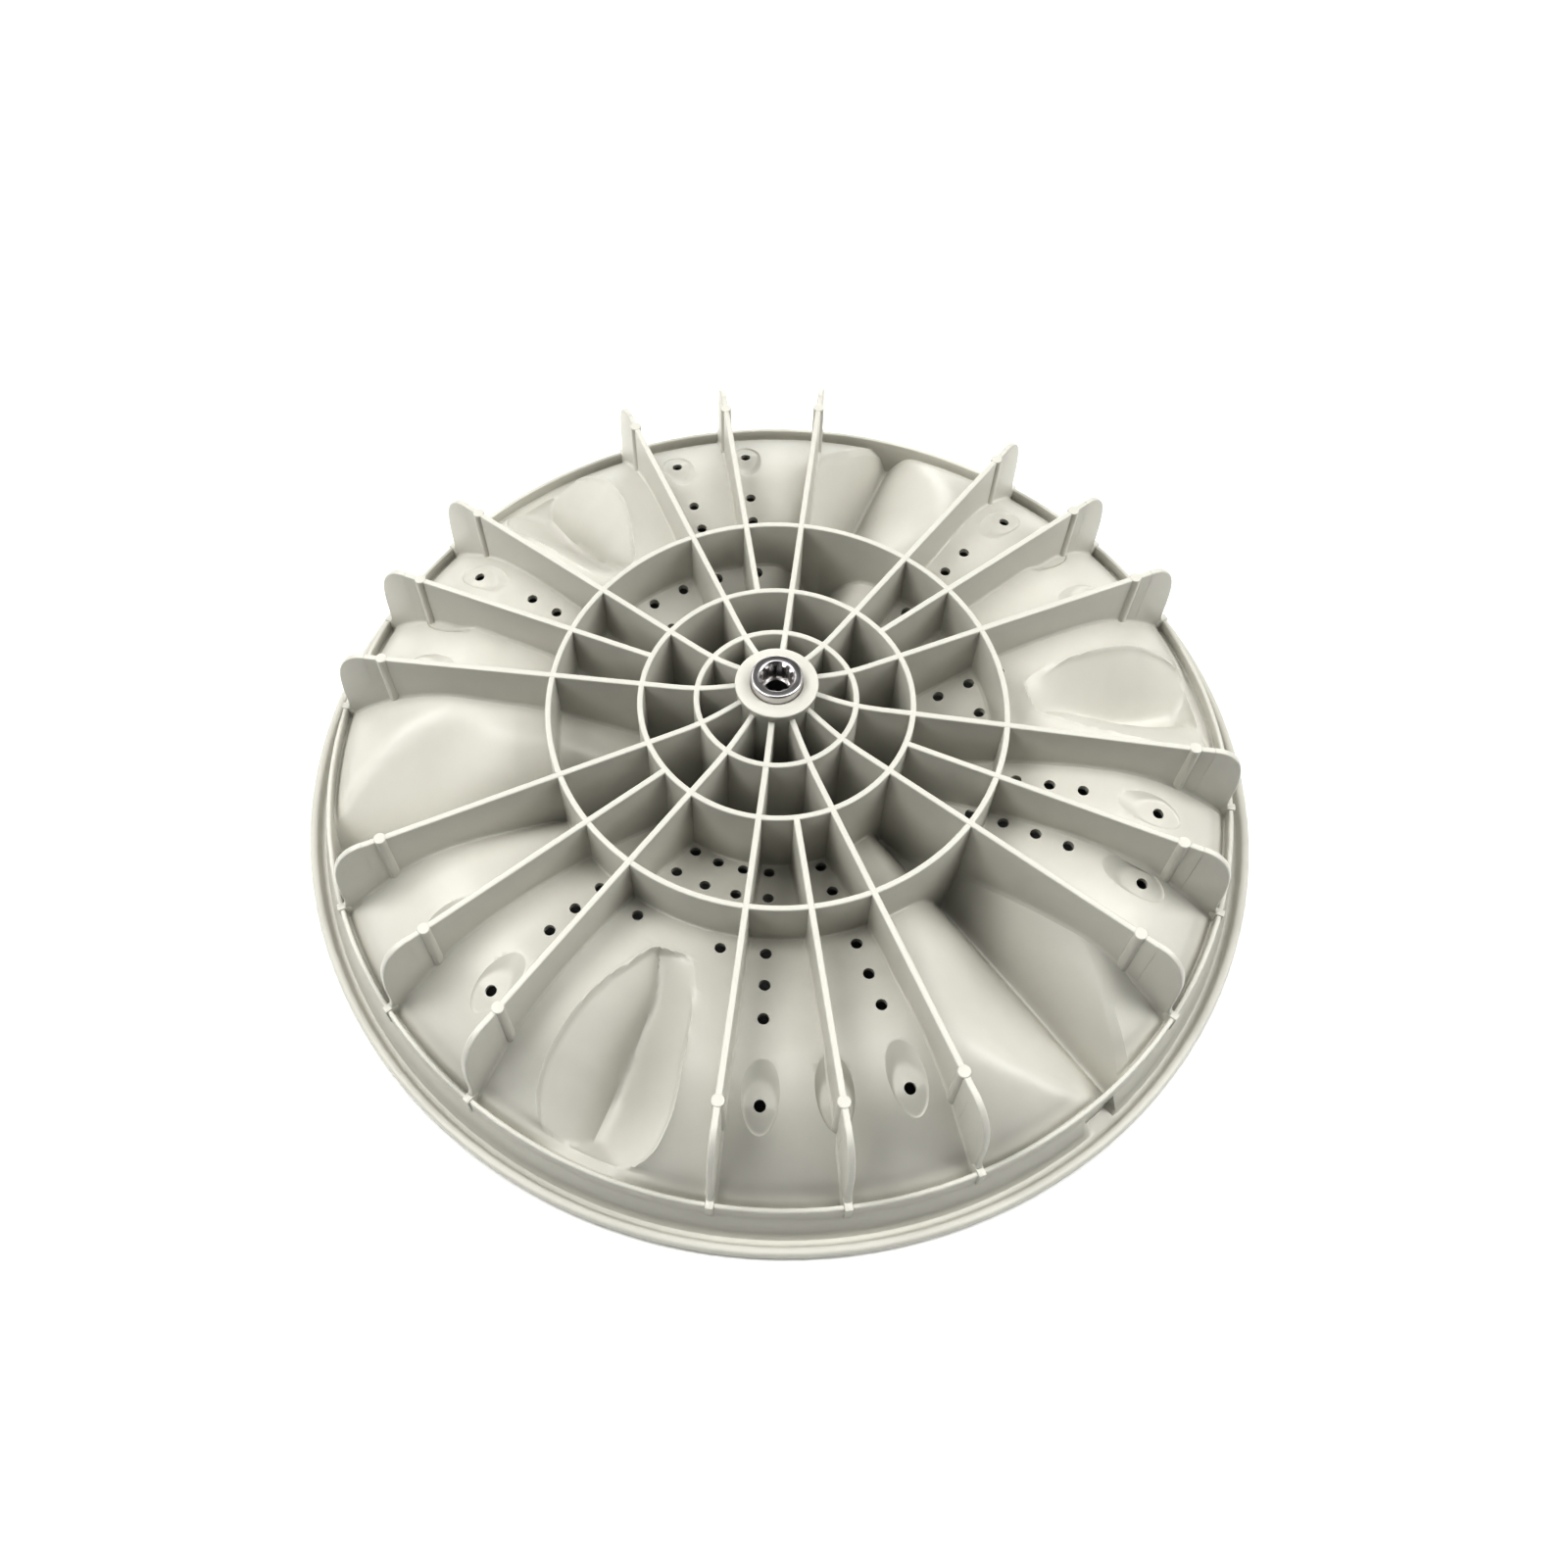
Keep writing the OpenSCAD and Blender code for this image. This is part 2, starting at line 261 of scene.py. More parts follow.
def column_angles(r, counts):
    """Angles of the mesh's columns at a radius: some follow the fins' and leaves' straight lines."""
    held = max(r, 52 * mm)
    climb = smooth_line(floor_line, np.array([held]))[0] - 6 * mm
    shoulder = 13.6 * mm - 13 * mm * math.log(1 - climb / (40 * mm))
    half = smooth_line(leaf_width, np.array([held]))[0]
    leaf_keys = [math.asin(x / held) for x in (-half - 0.7 * mm, -half + 1.2 * mm, -1 * mm,
                                               1 * mm, half - 1.2 * mm, half + 0.7 * mm)]
    keys = [
        -math.asin(13 * mm / held), math.asin(12.2 * mm / held), math.asin(13.6 * mm / held),
        math.asin(min(shoulder, 36 * mm) / held),
    ] + [leaf_from_fin + a for a in leaf_keys]
    keys.append(keys[0] + third)
    one_third = np.concatenate([
        np.linspace(keys[i], keys[i + 1], n, endpoint=False) for i, n in enumerate(counts)
    ])
    return np.concatenate([one_third + k * third for k in range(sides)])


fine = (40, 4, 22, 34, 4, 18, 2, 18, 4, 40)
coarse = tuple(n // 2 for n in fine)
fine_n = sides * sum(fine)
coarse_n = sides * sum(coarse)


def rows_between(stops, gap):
    """Radii through the given stops, in even steps of about the given gap between them."""
    out = []
    for a, b in zip(stops[:-1], stops[1:]):
        out += list(np.linspace(a, b, max(1, round((b - a) / gap)), endpoint=False))
    return out + [stops[-1]]


skin = bmesh.new()
loops = []


def add_loop(r, z, counts, warp_r=None):
    """One closed row of the skin: r and z are single values or one for each column."""
    angle = column_angles(warp_r or np.max(r), counts)
    r = np.broadcast_to(r, angle.shape)
    z = z(r, angle) if callable(z) else np.broadcast_to(z, angle.shape)
    turned = angle + fin_angle
    loops.append([
        skin.verts.new((ri * math.cos(a), ri * math.sin(a), zi)) for ri, a, zi in zip(r, turned, z)
    ])


def rim_notch(angle, spread):
    """How far each column lies in the notch that is cut into the rim's skirt at the front right fin."""
    a = angle - 2 * third
    start, end = math.radians(-0.9 - spread), math.radians(3.3 + spread)
    return ease(a, start, start + math.radians(1)) * (1 - ease(a, end, end + math.radians(0.4)))


for r in rows_between([hub_r - 1 * mm, ring_in, ring_mid - 0.9 * mm], 2.4 * mm):
    add_loop(r, floor_height, coarse)
for r in (ring_mid - 0.3 * mm, ring_mid + 0.3 * mm, ring_mid + 0.9 * mm):
    add_loop(r, floor_height, coarse)
for r in rows_between([ring_mid + 2 * mm, ring_out], 2.0 * mm):
    add_loop(r, floor_height, coarse)
for r in rows_between([ring_out + 0.2 * mm, 93.4 * mm], 1.6 * mm)[:-1]:
    add_loop(r, floor_height, fine)
for r in rows_between([93.4 * mm, 99 * mm], 0.45 * mm)[:-1]:
    add_loop(r, floor_height, fine)
for r in rows_between([99 * mm, 153.4 * mm], 1.6 * mm)[:-1]:
    add_loop(r, floor_height, fine)
for r in rows_between([153.4 * mm, 164.6 * mm], 0.9 * mm)[:-1]:
    add_loop(r, floor_height, fine)
for r in rows_between([164.6 * mm, 167.6 * mm, 168.4 * mm, wall_in - 0.05 * mm], 0.45 * mm):
    add_loop(r, floor_height, fine)

foot = np.minimum(floor_height(np.array(wall_in - 0.05 * mm), column_angles(wall_in, coarse)), 14.2 * mm)
for share in (0.15, 0.5):
    add_loop(wall_in, foot + (wall_top - 1 * mm - foot) * share, coarse, wall_in)
edge = 0.6 * mm
for turn in np.radians((180, 145, 110, 90)):
    add_loop(wall_in + edge + edge * math.cos(turn), wall_top - edge + edge * math.sin(turn), coarse, wall_in)
for turn in np.radians((90, 60, 30, 0)):
    add_loop(wall_out - edge + edge * math.cos(turn), wall_top - edge + edge * math.sin(turn), coarse, wall_in)
rim_angle = column_angles(wall_in, coarse)
notch = rim_notch(rim_angle, 0)
for out, z, notch_z in (
    (0.05, 16, 16), (0.15, 11.9, 7), (0.4, 11, 1.6), (1.6, 8, 1.2), (2.9, 4.9, 1.1), (4.2, 1.6, 1), (4.5, 1.1, 1),
    (4.8, 1, 1), (5.5, 1, 1), (6.0, 1.1, 1.1),
):
    add_loop(wall_out + out * mm, (z + (notch_z - z) * notch) * mm, coarse, wall_in)
for out, z in (
    (6.4, 1.5), (6.8, 2.9), (7.2, 3.9), (7.6, 4.25), (8.2, 4.4), (9.2, 4.4), (9.7, 4.2), (10.05, 3.8), (10.25, 3.2),
    (10.3, 2.2), (10.3, 0.8), (10.0, 0.3), (9.5, 0.15), (7.1, 0.1), (3.7, 0.1), (3.0, 0.5),
):
    add_loop(wall_out + out * mm, z * mm, coarse, wall_in)
wash_end = wall_in - 0.1 * mm
wash_foot = wash_height(np.array(wash_end), rim_angle)
notch_back = rim_notch(rim_angle, 0.9)
for share in (0.75, 0.5, 0.25):
    z = wash_foot + (0.5 * mm - wash_foot) * share
    add_loop(wash_end + (wall_out + 3 * mm - wash_end) * share, z + (0.1 * mm - z) * notch_back, coarse, wall_in)
for r in rows_between([53 * mm, 160 * mm, wash_end], 2.6 * mm)[::-1]:
    add_loop(r, wash_height, coarse)
for r in rows_between([13 * mm, 38 * mm, 51.6 * mm], 2.2 * mm)[::-1]:
    add_loop(r, wash_height, coarse)
pocket_r = 10.4 * mm
for r, z in ((pocket_r + 0.5 * mm, 5.9 * mm), (pocket_r, 6.6 * mm), (pocket_r, 7.6 * mm)):
    add_loop(r, z, coarse)

for low, high in zip(loops, loops[1:] + loops[:1]):
    n = len(low)
    if len(high) == n:
        for i in range(n):
            j = (i + 1) % n
            skin.faces.new((low[i], low[j], high[j], high[i]))
    elif len(high) == 2 * n:
        for i in range(n):
            j = (i + 1) % n
            skin.faces.new((low[i], low[j], high[2 * i + 1]))
            skin.faces.new((low[i], high[2 * i + 1], high[2 * i]))
            skin.faces.new((low[j], high[(2 * i + 2) % (2 * n)], high[2 * i + 1]))
    else:
        for i in range(n // 2):
            j = (i + 1) % (n // 2)
            skin.faces.new((low[2 * i], low[2 * i + 1], high[i]))
            skin.faces.new((low[2 * i + 1], high[j], high[i]))
            skin.faces.new((low[2 * i + 1], low[(2 * i + 2) % n], high[j]))
bmesh.ops.recalc_face_normals(skin, faces=skin.faces)
skin_mesh = bpy.data.meshes.new("pulsator_skin")
skin.to_mesh(skin_mesh)
skin.free()
pulsator_skin = bpy.data.objects.new("pulsator_skin", skin_mesh)
scene.collection.objects.link(pulsator_skin)


class Value:
    """A socket of a material's node tree. Arithmetic on it adds the Math nodes."""

    def __init__(self, tree, socket):
        self.tree = tree
        self.socket = socket

    def node(self, kind, values, settings=(), output=0):
        """Adds a node of a type, with its settings first and then its sockets' values or links."""
        made = self.tree.nodes.new(kind)
        for name, setting in dict(settings).items():
            setattr(made, name, setting)
        for key, value in values.items():
            if isinstance(value, Value):
                self.tree.links.new(value.socket, made.inputs[key])
            else:
                made.inputs[key].default_value = value
        return Value(self.tree, made.outputs[output])

    def maths(self, operation, a, b):
        return self.node("ShaderNodeMath", {0: a, 1: b}, {"operation": operation})

    def __add__(self, other):
        return self.maths("ADD", self, other)

    def __radd__(self, other):
        return self.maths("ADD", other, self)

    def __sub__(self, other):
        return self.maths("SUBTRACT", self, other)

    def __rsub__(self, other):
        return self.maths("SUBTRACT", other, self)

    def __mul__(self, other):
        return self.maths("MULTIPLY", self, other)

    def __rmul__(self, other):
        return self.maths("MULTIPLY", other, self)

    def __truediv__(self, other):
        return self.maths("DIVIDE", self, other)

    def __pow__(self, other):
        return self.maths("POWER", self, other)

    def mix(self, low, high):
        """A colour between two colours, by this value as the factor."""
        return self.node("ShaderNodeMix", {0: self, 6: low, 7: high}, {"data_type": "RGBA"}, 2)

    def noise(self, scale, detail=2.0):
        """Cloudy pattern of this position, with the given number of lumps in a metre."""
        return self.node("ShaderNodeTexNoise", {"Vector": self, "Scale": scale, "Detail": detail})

    def into(self, shader, name):
        self.tree.links.new(self.socket, shader.inputs[name])


def new_finish(name):
    """A material with its main shader and the position on the piece, to build a finish on."""
    finish = bpy.data.materials.new(name)
    finish.use_nodes = True
    shader = finish.node_tree.nodes["Principled BSDF"]
    place = finish.node_tree.nodes.new("ShaderNodeTexCoord").outputs["Object"]
    return finish, shader, Value(finish.node_tree, place)


# Ivory white polypropylene: half gloss, with a faint cloudiness from the mould's flow
ivory_plastic, plastic_shader, spot = new_finish("ivory_polypropylene")
plastic_shader.inputs["IOR"].default_value = 1.49
flow = spot.noise(14, 3.0)
grain = spot.noise(900, 2.0)
fleck = spot.noise(160, 4.0)
tone = flow * 0.6 + fleck * 0.4
tone.mix((0.56, 0.552, 0.508, 1), (0.61, 0.602, 0.556, 1)).into(plastic_shader, "Base Color")
(0.30 + 0.10 * flow + 0.10 * fleck).into(plastic_shader, "Roughness")
skin_bump = spot.node("ShaderNodeBump", {"Height": grain * 0.5 + fleck * 0.5, "Strength": 0.18,
                                         "Distance": 0.00012})
skin_bump.into(plastic_shader, "Normal")
skin_mesh.materials.append(ivory_plastic)


def plain_mesh(obj):
    """Makes what an object's modifiers build its own mesh, and takes the modifiers off."""
    made = bpy.data.meshes.new_from_object(obj.evaluated_get(bpy.context.evaluated_depsgraph_get()))
    obj.modifiers.clear()
    old = obj.data
    obj.data = made
    bpy.data.meshes.remove(old)
    made.name = obj.name


def join_or_cut(target, tools, operation):
    """Joins solids to a target, or cuts them out of it, and clears them away."""
    group = bpy.data.collections.new(operation)
    scene.collection.children.link(group)
    for tool in tools:
        group.objects.link(tool)
    boolean = target.modifiers.new(operation, "BOOLEAN")
    boolean.operand_type = "COLLECTION"
    boolean.collection = group
    boolean.operation = operation
    boolean.solver = "MANIFOLD"
    plain_mesh(target)
    for tool in tools:
        bpy.data.objects.remove(tool)
    bpy.data.collections.remove(group)


def points_object(name, points):
    """Loose points, for Geometry Nodes to set a shape on each."""
    mesh = bpy.data.meshes.new(name)
    mesh.from_pydata([tuple(p) for p in points], [], [])
    obj = bpy.data.objects.new(name, mesh)
    scene.collection.objects.link(obj)
    return obj


def new_tree(name, inputs):
    """An empty Geometry Nodes tree with a geometry in and out, and named inputs for its sizes."""
    tree = bpy.data.node_groups.new(name, "GeometryNodeTree")
    tree.interface.new_socket("Geometry", in_out="OUTPUT", socket_type="NodeSocketGeometry")
    tree.interface.new_socket("Geometry", in_out="INPUT", socket_type="NodeSocketGeometry")
    for key, kind in inputs.items():
        tree.interface.new_socket(key, in_out="INPUT", socket_type="NodeSocket" + kind)
    return tree, tree.nodes.new("NodeGroupInput").outputs, tree.nodes.new("NodeGroupOutput").inputs


def add_node(tree, kind, links, output=0, settings=()):
    """Adds a Geometry Nodes node, with its settings and its sockets' values or links."""
    made = tree.nodes.new(kind)
    for key, setting in dict(settings).items():
        setattr(made, key, setting)
    for key, value in links.items():
        if isinstance(value, bpy.types.NodeSocket):
            tree.links.new(value, made.inputs[key])
        else:
            made.inputs[key].default_value = value
    return made.outputs[output]


def run_tree(obj, tree, values):
    """Runs a tree on an object with the given inputs, and keeps the result as a plain mesh."""
    modifier = obj.modifiers.new(tree.name, "NODES")
    modifier.node_group = tree
    for item in tree.interface.items_tree:
        if item.in_out == "INPUT" and item.name in values:
            modifier[item.identifier] = values[item.name]
    plain_mesh(obj)


def solid_from_loops(name, loops, closed):
    """A closed mesh through rows of points, capped at both ends unless the rows run in a ring."""
    bm = bmesh.new()
    rows = [[bm.verts.new(p) for p in loop] for loop in loops]
    pairs = list(zip(rows, rows[1:])) + ([(rows[-1], rows[0])] if closed else [])
    for a, b in pairs:
        for i in range(len(a)):
            j = (i + 1) % len(a)
            bm.faces.new((a[i], a[j], b[j], b[i]))
    if not closed:
        bm.faces.new(rows[0])
        bm.faces.new(rows[-1][::-1])
    bmesh.ops.recalc_face_normals(bm, faces=bm.faces)
    mesh = bpy.data.meshes.new(name)
    bm.to_mesh(mesh)
    bm.free()
    mesh.materials.append(ivory_plastic)
    return bpy.data.objects.new(name, mesh)


# Drain holes: 3.9 mm round, straight down through the floor in rows between the ribs
hole_tree, hole_in, hole_out = new_tree("drain_holes", {
    "Radius": "Float", "Depth": "Float", "Sides": "Int", "Material": "Material"})
pin = add_node(hole_tree, "GeometryNodeMeshCylinder", {
    "Radius": hole_in["Radius"], "Depth": hole_in["Depth"], "Vertices": hole_in["Sides"]})
pins = add_node(hole_tree, "GeometryNodeInstanceOnPoints", {"Points": hole_in["Geometry"], "Instance": pin})
pins = add_node(hole_tree, "GeometryNodeRealizeInstances", {"Geometry": pins})
pins = add_node(hole_tree, "GeometryNodeSetMaterial", {"Geometry": pins, "Material": hole_in["Material"]})
hole_tree.links.new(pins, hole_out["Geometry"])

drain_r = 1.95 * mm
drain_step = 11.85 * mm
first_drain = 53.8 * mm
oval_drain = 140.7 * mm
# rows as (degrees from a fin's centre line, first and last circle, whether it ends in an oval)
drain_rows = (
    (27, 2, 5, True), (39.05, 0, 5, True), (80, 0, 5, True), (100, 0, 5, True), (90, 4, 5, True),
    (50, 0, 3, False), (60, 0, 2, False), (70, 0, 3, False),
)
drain_points = []
oval_angles = []
for k in range(sides):
    for degrees, first, last, with_oval in drain_rows:
        a = fin_angle + math.radians(degrees) + k * third
        radii = [first_drain + i * drain_step for i in range(first, last + 1)]
        if with_oval:
            radii.append(oval_drain)
            oval_angles.append(a)
        drain_points += [(r * math.cos(a), r * math.sin(a), 24 * mm) for r in radii]
drain_pins = points_object("drain_pins", drain_points)
run_tree(drain_pins, hole_tree, {"Radius": drain_r, "Depth": 50 * mm, "Sides": 24, "Material": ivory_plastic})
scene.collection.objects.unlink(drain_pins)
join_or_cut(pulsator_skin, [drain_pins], "DIFFERENCE")

# Oval scoops round the outermost holes: a ramp down at the end near the hub, a shelf that comes up
# again towards the rim, and a short wall at the far end
oval_r = oval_drain - 3.2 * mm
oval_long, oval_wide = 12 * mm, 6.3 * mm


def scoop_depth(x, y):
    """Depth of an oval scoop at a place outward from its middle and across it."""
    away = np.hypot(x / oval_long, y / oval_wide)
    outward = x / oval_long / np.maximum(away, 0.001)
    wall = (6.8 + 3.8 * outward + 1.6 * outward**2) * mm * (1 - away)
    shelf = 2.8 * mm - 0.21 * np.maximum(x + 6 * mm, 0) + 0.2 * np.maximum(x - 4 * mm, 0)
    return soft_min(wall, shelf, 0.5 * mm)


def scoop_solid(angle):
    """What is cut out of the floor for one scoop, with its own fine mesh."""
    rings = (0.001, 0.15, 0.3, 0.45, 0.58, 0.68, 0.76, 0.83, 0.89, 0.94, 0.975, 1.0, 1.03)
    rows = []
    for away in rings + (1.03,):
        turns = np.linspace(0, 2 * math.pi, 48, endpoint=False)
        x, y = away * oval_long * np.cos(turns), away * oval_wide * np.sin(turns)
        z = smooth_line(floor_line, np.hypot(oval_r + x, y)) - scoop_depth(x, y)
        if away > 1:
            z = z + (0.3 * mm if len(rows) < len(rings) else 5 * mm)
        rows.append(np.stack([(oval_r + x) * math.cos(angle) - y * math.sin(angle),
                              (oval_r + x) * math.sin(angle) + y * math.cos(angle), z], axis=1))
    return solid_from_loops("scoop", rows, False)


join_or_cut(pulsator_skin, [scoop_solid(a) for a in oval_angles], "DIFFERENCE")

smooth_up_to = math.radians(38)
pulsator_skin.data.shade_smooth()
pulsator_skin.data.set_sharp_from_angle(angle=smooth_up_to)
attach(pulsator_skin, "root")
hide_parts("pulsator_body")
print("skin triangles", sum(len(p.vertices) - 2 for p in pulsator_skin.data.polygons))


# Ribs, rings and hub of the same moulding: eighteen upright plates in six groups of three, three
# rings that tie them together, and the tall hub. Their top edges are rounded, and their feet
# flare a little where they meet the floor.
rib_half = 1.15 * mm
ring_half = 1.1 * mm
edge_r = 0.55 * mm
foot_flare = ((1.5, -0.7), (1.1, -0.1), (0.4, 0.3), (0.1, 1.0), (0.03, 1.8))
ring_tops = {ring_in: 59.6 * mm, ring_mid: 58.5 * mm, ring_out: 57.55 * mm}


def curve_through(points, gap):
    """Points about a gap apart on a smooth curve through the given points."""
    p = np.array(points) * mm
    p = np.vstack([2 * p[0] - p[1], p, 2 * p[-1] - p[-2]])
    out = []
    for a, b, c, d in zip(p, p[1:], p[2:], p[3:]):
        n = max(1, int(np.ceil(np.linalg.norm(c - b) / gap)))
        for t in np.arange(n) / n:
            out.append(0.5 * (2 * b + (c - a) * t + (2 * a - 5 * b + 4 * c - d) * t * t
                              + (3 * b - a - 3 * c + d) * t**3))
    return np.array(out + [p[-2]])


rib_crest = np.vstack([
    curve_through([(11, 65.2), (28.6, 59.6), (48.9, 58.5), (82.1, 57.75), (147.3, 56.15), (154, 56.2)],
                  2.6 * mm)[:-1],
    curve_through([(154, 56.2), (156.5, 56.0), (159.5, 54.9), (162.4, 52.4), (164.8, 48.4), (166.6, 42), (167.5, 34),
                   (167.7, 28), (168.1, 22), (169.7, 18.9)], 1.3 * mm),
])


def rounded_section(half):
    """Across a plate, from one foot over the top to the other: (sideways, height, measured from)."""
    down = [(half + out * mm, up * mm, "floor") for out, up in foot_flare]
    over = [(half - edge_r + edge_r * math.sin(a), edge_r - edge_r * math.cos(a), "crest")
            for a in np.radians((90, 60, 30, 0))]
    side = down + over
    return side + [(-across, height, kind) for across, height, kind in side[::-1]]


def rib_solid(angle, start):
    """One rib at an angle, from its start radius out to the rim wall."""
    crest = rib_crest[rib_crest[:, 0] >= start]
    along = np.gradient(crest, axis=0)
    inward = np.stack([along[:, 1], -along[:, 0]], axis=1) / np.linalg.norm(along, axis=1)[:, None]
    rows = []
    for across, height, kind in rounded_section(rib_half):
        r, z = (crest + inward * height).T
        if kind == "floor":
            r = crest[:, 0]
            reach = np.minimum(r, wall_in - 0.1 * mm)
            z = floor_height(reach, angle - fin_angle + across / reach) + height
            for a in oval_angles:
                if abs(math.remainder(a - angle, 2 * math.pi)) < 0.01:
                    z = z - np.maximum(scoop_depth(r - oval_r, across + 0 * r), 0)
        rows.append(np.stack([r * math.cos(angle) - across * math.sin(angle),
                              r * math.sin(angle) + across * math.cos(angle), z], axis=1))
    return solid_from_loops("rib", np.stack(rows, axis=1), False)


def ring_solid(radius):
    """One upright ring, whose foot follows the floor on each side of it."""
    angle = column_angles(radius, coarse)
    turned = angle + fin_angle
    rows = []
    for across, height, kind in rounded_section(ring_half):
        r = radius + across
        z = ring_tops[radius] - height if kind == "crest" else floor_height(np.array(r), angle) + height
        rows.append(np.stack([r * np.cos(turned), r * np.sin(turned), z + 0 * angle], axis=1))
    return solid_from_loops("ring", np.stack(rows, axis=1), True)


def turned_solid(name, outline, around):
    """A solid turned round the axis from its closed outline of (radius, height)."""
    loops = [[(r * math.cos(a), r * math.sin(a), z) for r, z in outline]
             for a in np.linspace(0, 2 * math.pi, around, endpoint=False)]
    return solid_from_loops(name, loops, True)


insert_lo, insert_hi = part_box("spline_insert")
insert_r = insert_hi.x
hub_outline = np.array([
    (10.45, 7), (14.6, 7), (15.3, 8.1), (14.35, 8.8), (14.05, 10), (14.0, 12), (14.0, 66.4), (14.15, 66.75),
    (14.5, 66.9), (14.75, 67.1), (14.8, 67.3), (14.8, 68.0), (14.7, 68.35), (14.3, 68.6), (9.9, 68.6), (9.5, 68.45),
    (9.25, 68.1), (9.2, 67.4), (9.2, 30), (5.4, 30), (5.4, 22), (10.45, 22),
]) * mm
pulsator_ribs = turned_solid("pulsator_ribs", hub_outline, 96)
scene.collection.objects.link(pulsator_ribs)

ribs = []
rib_angles = []
for group in range(6):
    for place in (-1, 0, 1):
        angle = first_rib - group * group_step + place * rib_step
        rib_angles.append(angle)
        ribs.append(rib_solid(angle, ring_mid if place == 0 else 0))
rings = [ring_solid(r) for r in ring_tops]

# What stands on each rib: the round post near the rim, and the tab that grips the rim wall
round_tree, round_in, round_out = new_tree("set_on_ribs", {"Shape": "Object", "Material": "Material"})
shape = add_node(round_tree, "GeometryNodeObjectInfo", {"Object": round_in["Shape"]}, "Geometry")
where = add_node(round_tree, "GeometryNodeInputPosition", {})
parts = add_node(round_tree, "ShaderNodeSeparateXYZ", {0: where}, "X").node
turn = add_node(round_tree, "ShaderNodeMath", {0: parts.outputs["Y"], 1: parts.outputs["X"]}, 0,
                {"operation": "ARCTAN2"})
turn = add_node(round_tree, "ShaderNodeCombineXYZ", {"Z": turn})
placed = add_node(round_tree, "GeometryNodeInstanceOnPoints", {
    "Points": round_in["Geometry"], "Instance": shape, "Rotation": turn})
placed = add_node(round_tree, "GeometryNodeRealizeInstances", {"Geometry": placed})
placed = add_node(round_tree, "GeometryNodeSetMaterial", {"Geometry": placed, "Material": round_in["Material"]})
round_tree.links.new(placed, round_out["Geometry"])


def set_round(name, shape_object, points, finish):
    """Copies of a shape, one on each point, each turned to face away from the axis."""
    scene.collection.objects.link(shape_object)
    placed_object = points_object(name, points)
    run_tree(placed_object, round_tree, {"Shape": shape_object, "Material": finish})
    scene.collection.objects.unlink(placed_object)
    bpy.data.objects.remove(shape_object)
    return placed_object


post_ring = 147.3 * mm
post_r = 2.2 * mm
post_top = 56.4 * mm
post_outline = [(0.02 * mm, 12 * mm), (post_r + 0.2 * mm, 12 * mm), (post_r, 54 * mm)]
post_outline += [(post_r - 0.4 * mm * (1 - math.cos(a)), post_top - 0.4 * mm * (1 - math.sin(a)))
                 for a in np.radians((0, 25, 50, 75, 90))]
post_outline.append((0.02 * mm, post_top))
post = turned_solid("post", post_outline, 24)
posts = set_round("posts", post, [(post_ring * math.cos(a), post_ring * math.sin(a), 0) for a in rib_angles],
                  ivory_plastic)

tab = bmesh.new()
bmesh.ops.create_cube(tab, size=1, matrix=Matrix.Translation(Vector((-1.1, 0, 14.4)) * mm)
                      @ Matrix.Diagonal(Vector((5.2, 2.8, 11.2, 1000)) * mm))
bmesh.ops.bevel(tab, geom=tab.edges[:], offset=0.5 * mm, segments=2, profile=0.5, affect="EDGES")
tab_mesh = bpy.data.meshes.new("tab")
tab.to_mesh(tab_mesh)
tab.free()
tab_mesh.materials.append(ivory_plastic)
tab_ring = (wall_in + wall_out) / 2
tabs = set_round("tabs", bpy.data.objects.new("tab", tab_mesh),
                 [(tab_ring * math.cos(a), tab_ring * math.sin(a), 0) for a in rib_angles], ivory_plastic)

join_or_cut(pulsator_ribs, ribs + rings + [posts, tabs], "UNION")
pulsator_ribs.data.shade_smooth()
pulsator_ribs.data.set_sharp_from_angle(angle=smooth_up_to)
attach(pulsator_ribs, "root")
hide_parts("pulsator_body")
print("rib triangles", sum(len(p.vertices) - 2 for p in pulsator_ribs.data.polygons))


# Spline insert: a turned metal sleeve moulded into the hub. A splined shaft fits its upper end,
# and the fixing bolt comes up through the hole below.
spline_r = 5.8 * mm
bolt_r = 4.4 * mm
ledge_z = 63.8 * mm
teeth = 11
insert_outline = np.array([
    (4.4, 30), (9.15, 30), (9.15, 71.5), (9.05, 71.9), (8.8, 72.2), (8.5, 72.3), (6.7, 72.3), (6.5, 72.25),
    (5.95, 71.7), (5.8, 71.4), (5.8, 64.0), (5.7, 63.8), (4.9, 63.8), (4.4, 63.4),
]) * mm
spline_insert = turned_solid("spline_sleeve", insert_outline, 132)
scene.collection.objects.link(spline_insert)
tooth = bmesh.new()
half_root, half_tip, tip_r = 0.95 * mm, 0.55 * mm, 5.2 * mm
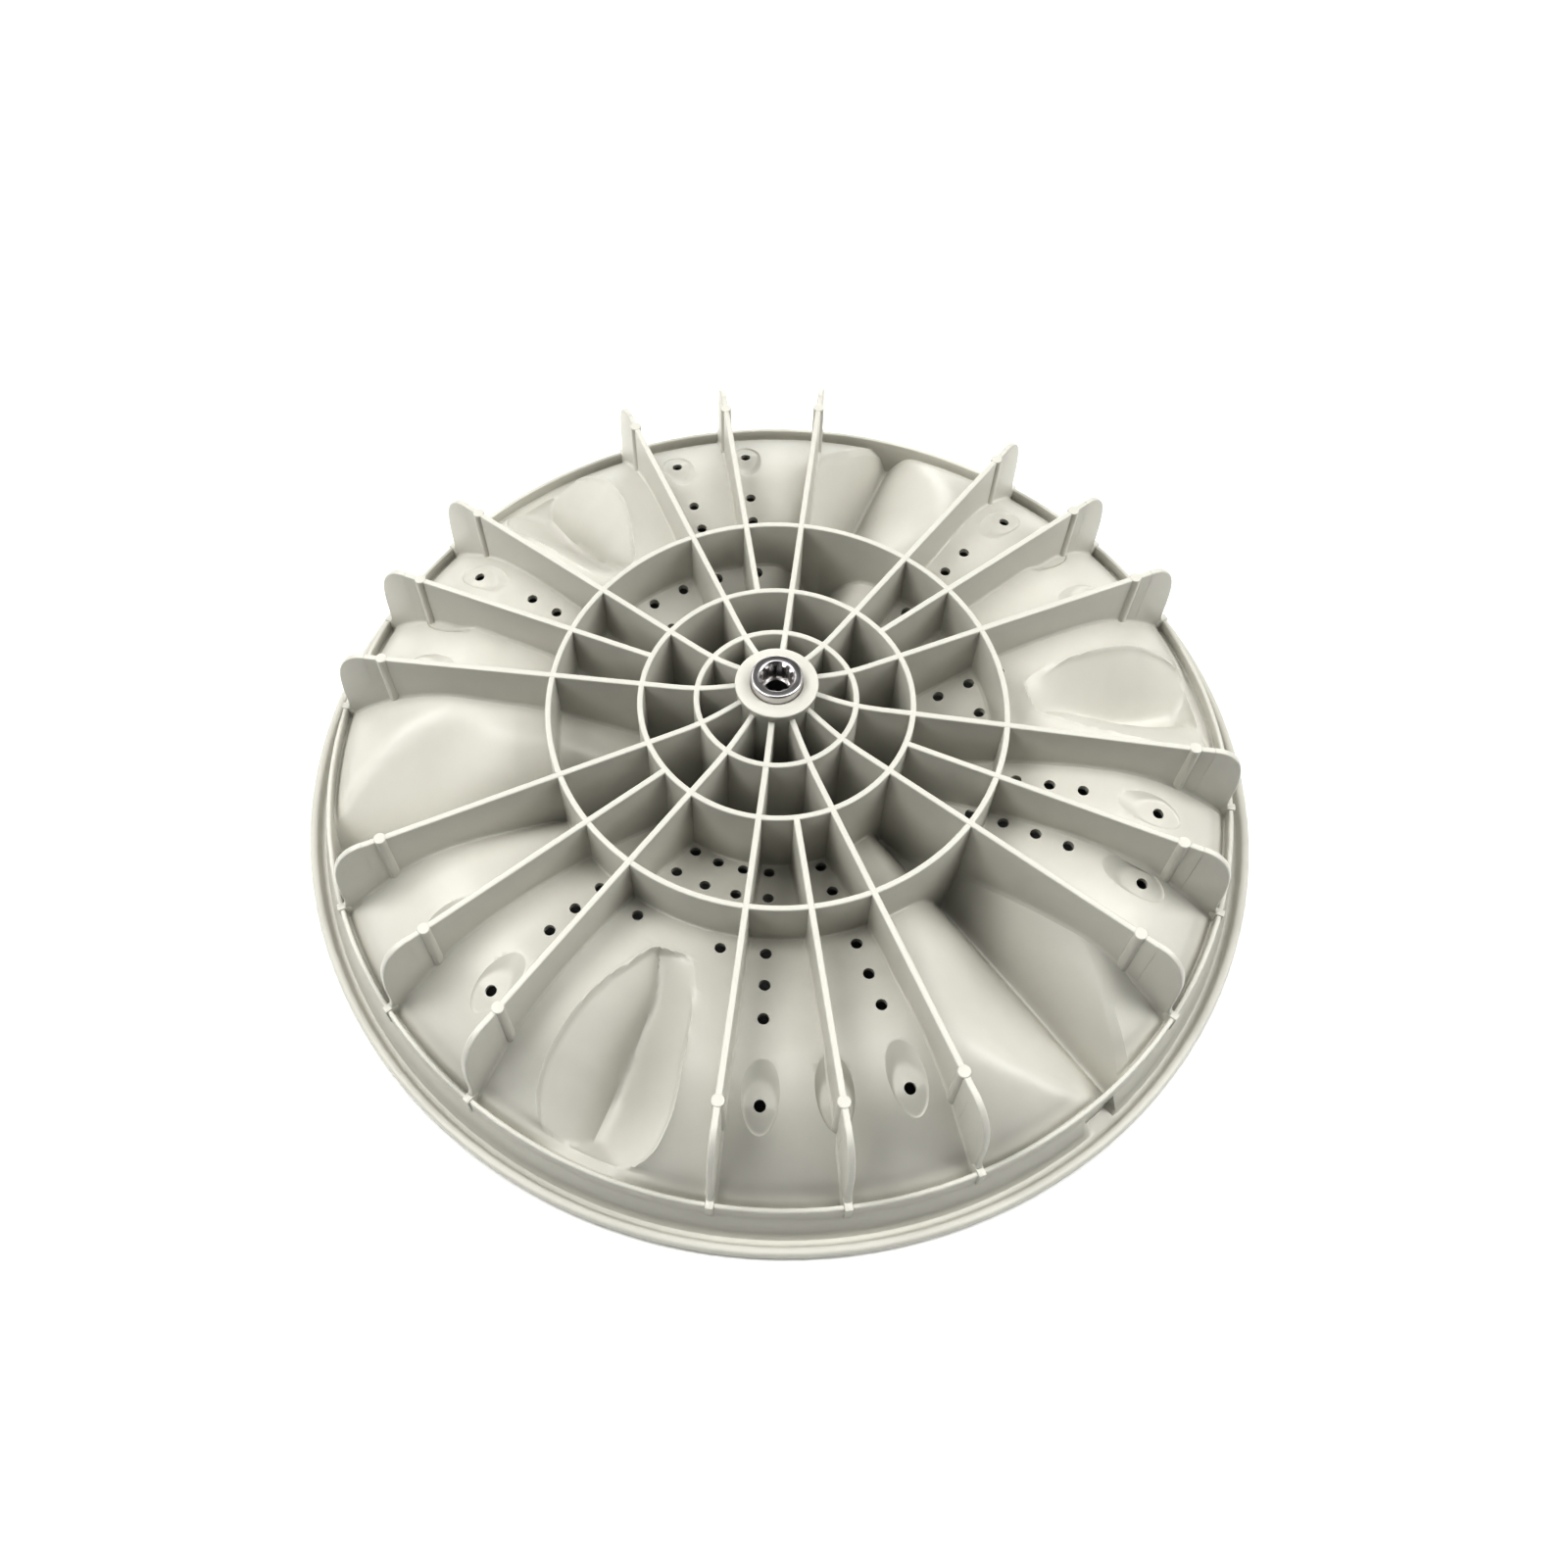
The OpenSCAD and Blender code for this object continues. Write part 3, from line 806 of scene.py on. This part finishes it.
corners = [(spline_r + 0.3 * mm, -half_root), (tip_r, -half_tip), (tip_r, half_tip), (spline_r + 0.3 * mm, half_root)]
low = [tooth.verts.new((x - spline_r, y, ledge_z - 0.4 * mm)) for x, y in corners]
high = [tooth.verts.new((x - spline_r, y, 71.1 * mm + (x - tip_r) * 0.9)) for x, y in corners]
for i in range(4):
    j = (i + 1) % 4
    tooth.faces.new((low[i], low[j], high[j], high[i]))
tooth.faces.new(low)
tooth.faces.new(high[::-1])
bmesh.ops.recalc_face_normals(tooth, faces=tooth.faces)
tooth_mesh = bpy.data.meshes.new("tooth")
tooth.to_mesh(tooth_mesh)
tooth.free()

turned_metal, metal_shader, spot = new_finish("turned_steel")
metal_shader.inputs["Metallic"].default_value = 1.0
parts = spot.node("ShaderNodeSeparateXYZ", {0: spot}).socket.node
px, py, pz = (Value(turned_metal.node_tree, parts.outputs[k]) for k in range(3))
radius = (px * px + py * py) ** 0.5
ridge = radius.node("ShaderNodeCombineXYZ", {0: radius * 900, 1: 0.0, 2: pz * 900}).noise(1.0, 1.0)
cloud = spot.noise(220, 2.0)
cloud.mix((0.60, 0.58, 0.57, 1), (0.74, 0.73, 0.73, 1)).into(metal_shader, "Base Color")
(0.20 + 0.16 * ridge + 0.06 * cloud).into(metal_shader, "Roughness")
ridge.node("ShaderNodeBump", {"Height": ridge, "Strength": 0.25, "Distance": 0.00004}).into(metal_shader, "Normal")

tooth_points = [(spline_r * math.cos(a), spline_r * math.sin(a), 0)
                for a in np.linspace(0, 2 * math.pi, teeth, endpoint=False)]
spline_teeth = set_round("spline_teeth", bpy.data.objects.new("tooth", tooth_mesh), tooth_points, turned_metal)
spline_insert.data.materials.clear()
spline_insert.data.materials.append(turned_metal)
join_or_cut(spline_insert, [spline_teeth], "UNION")
spline_insert.data.shade_smooth()
spline_insert.data.set_sharp_from_angle(angle=smooth_up_to)
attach(spline_insert, "root")
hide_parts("spline_insert")
print("insert triangles", sum(len(p.vertices) - 2 for p in spline_insert.data.polygons))
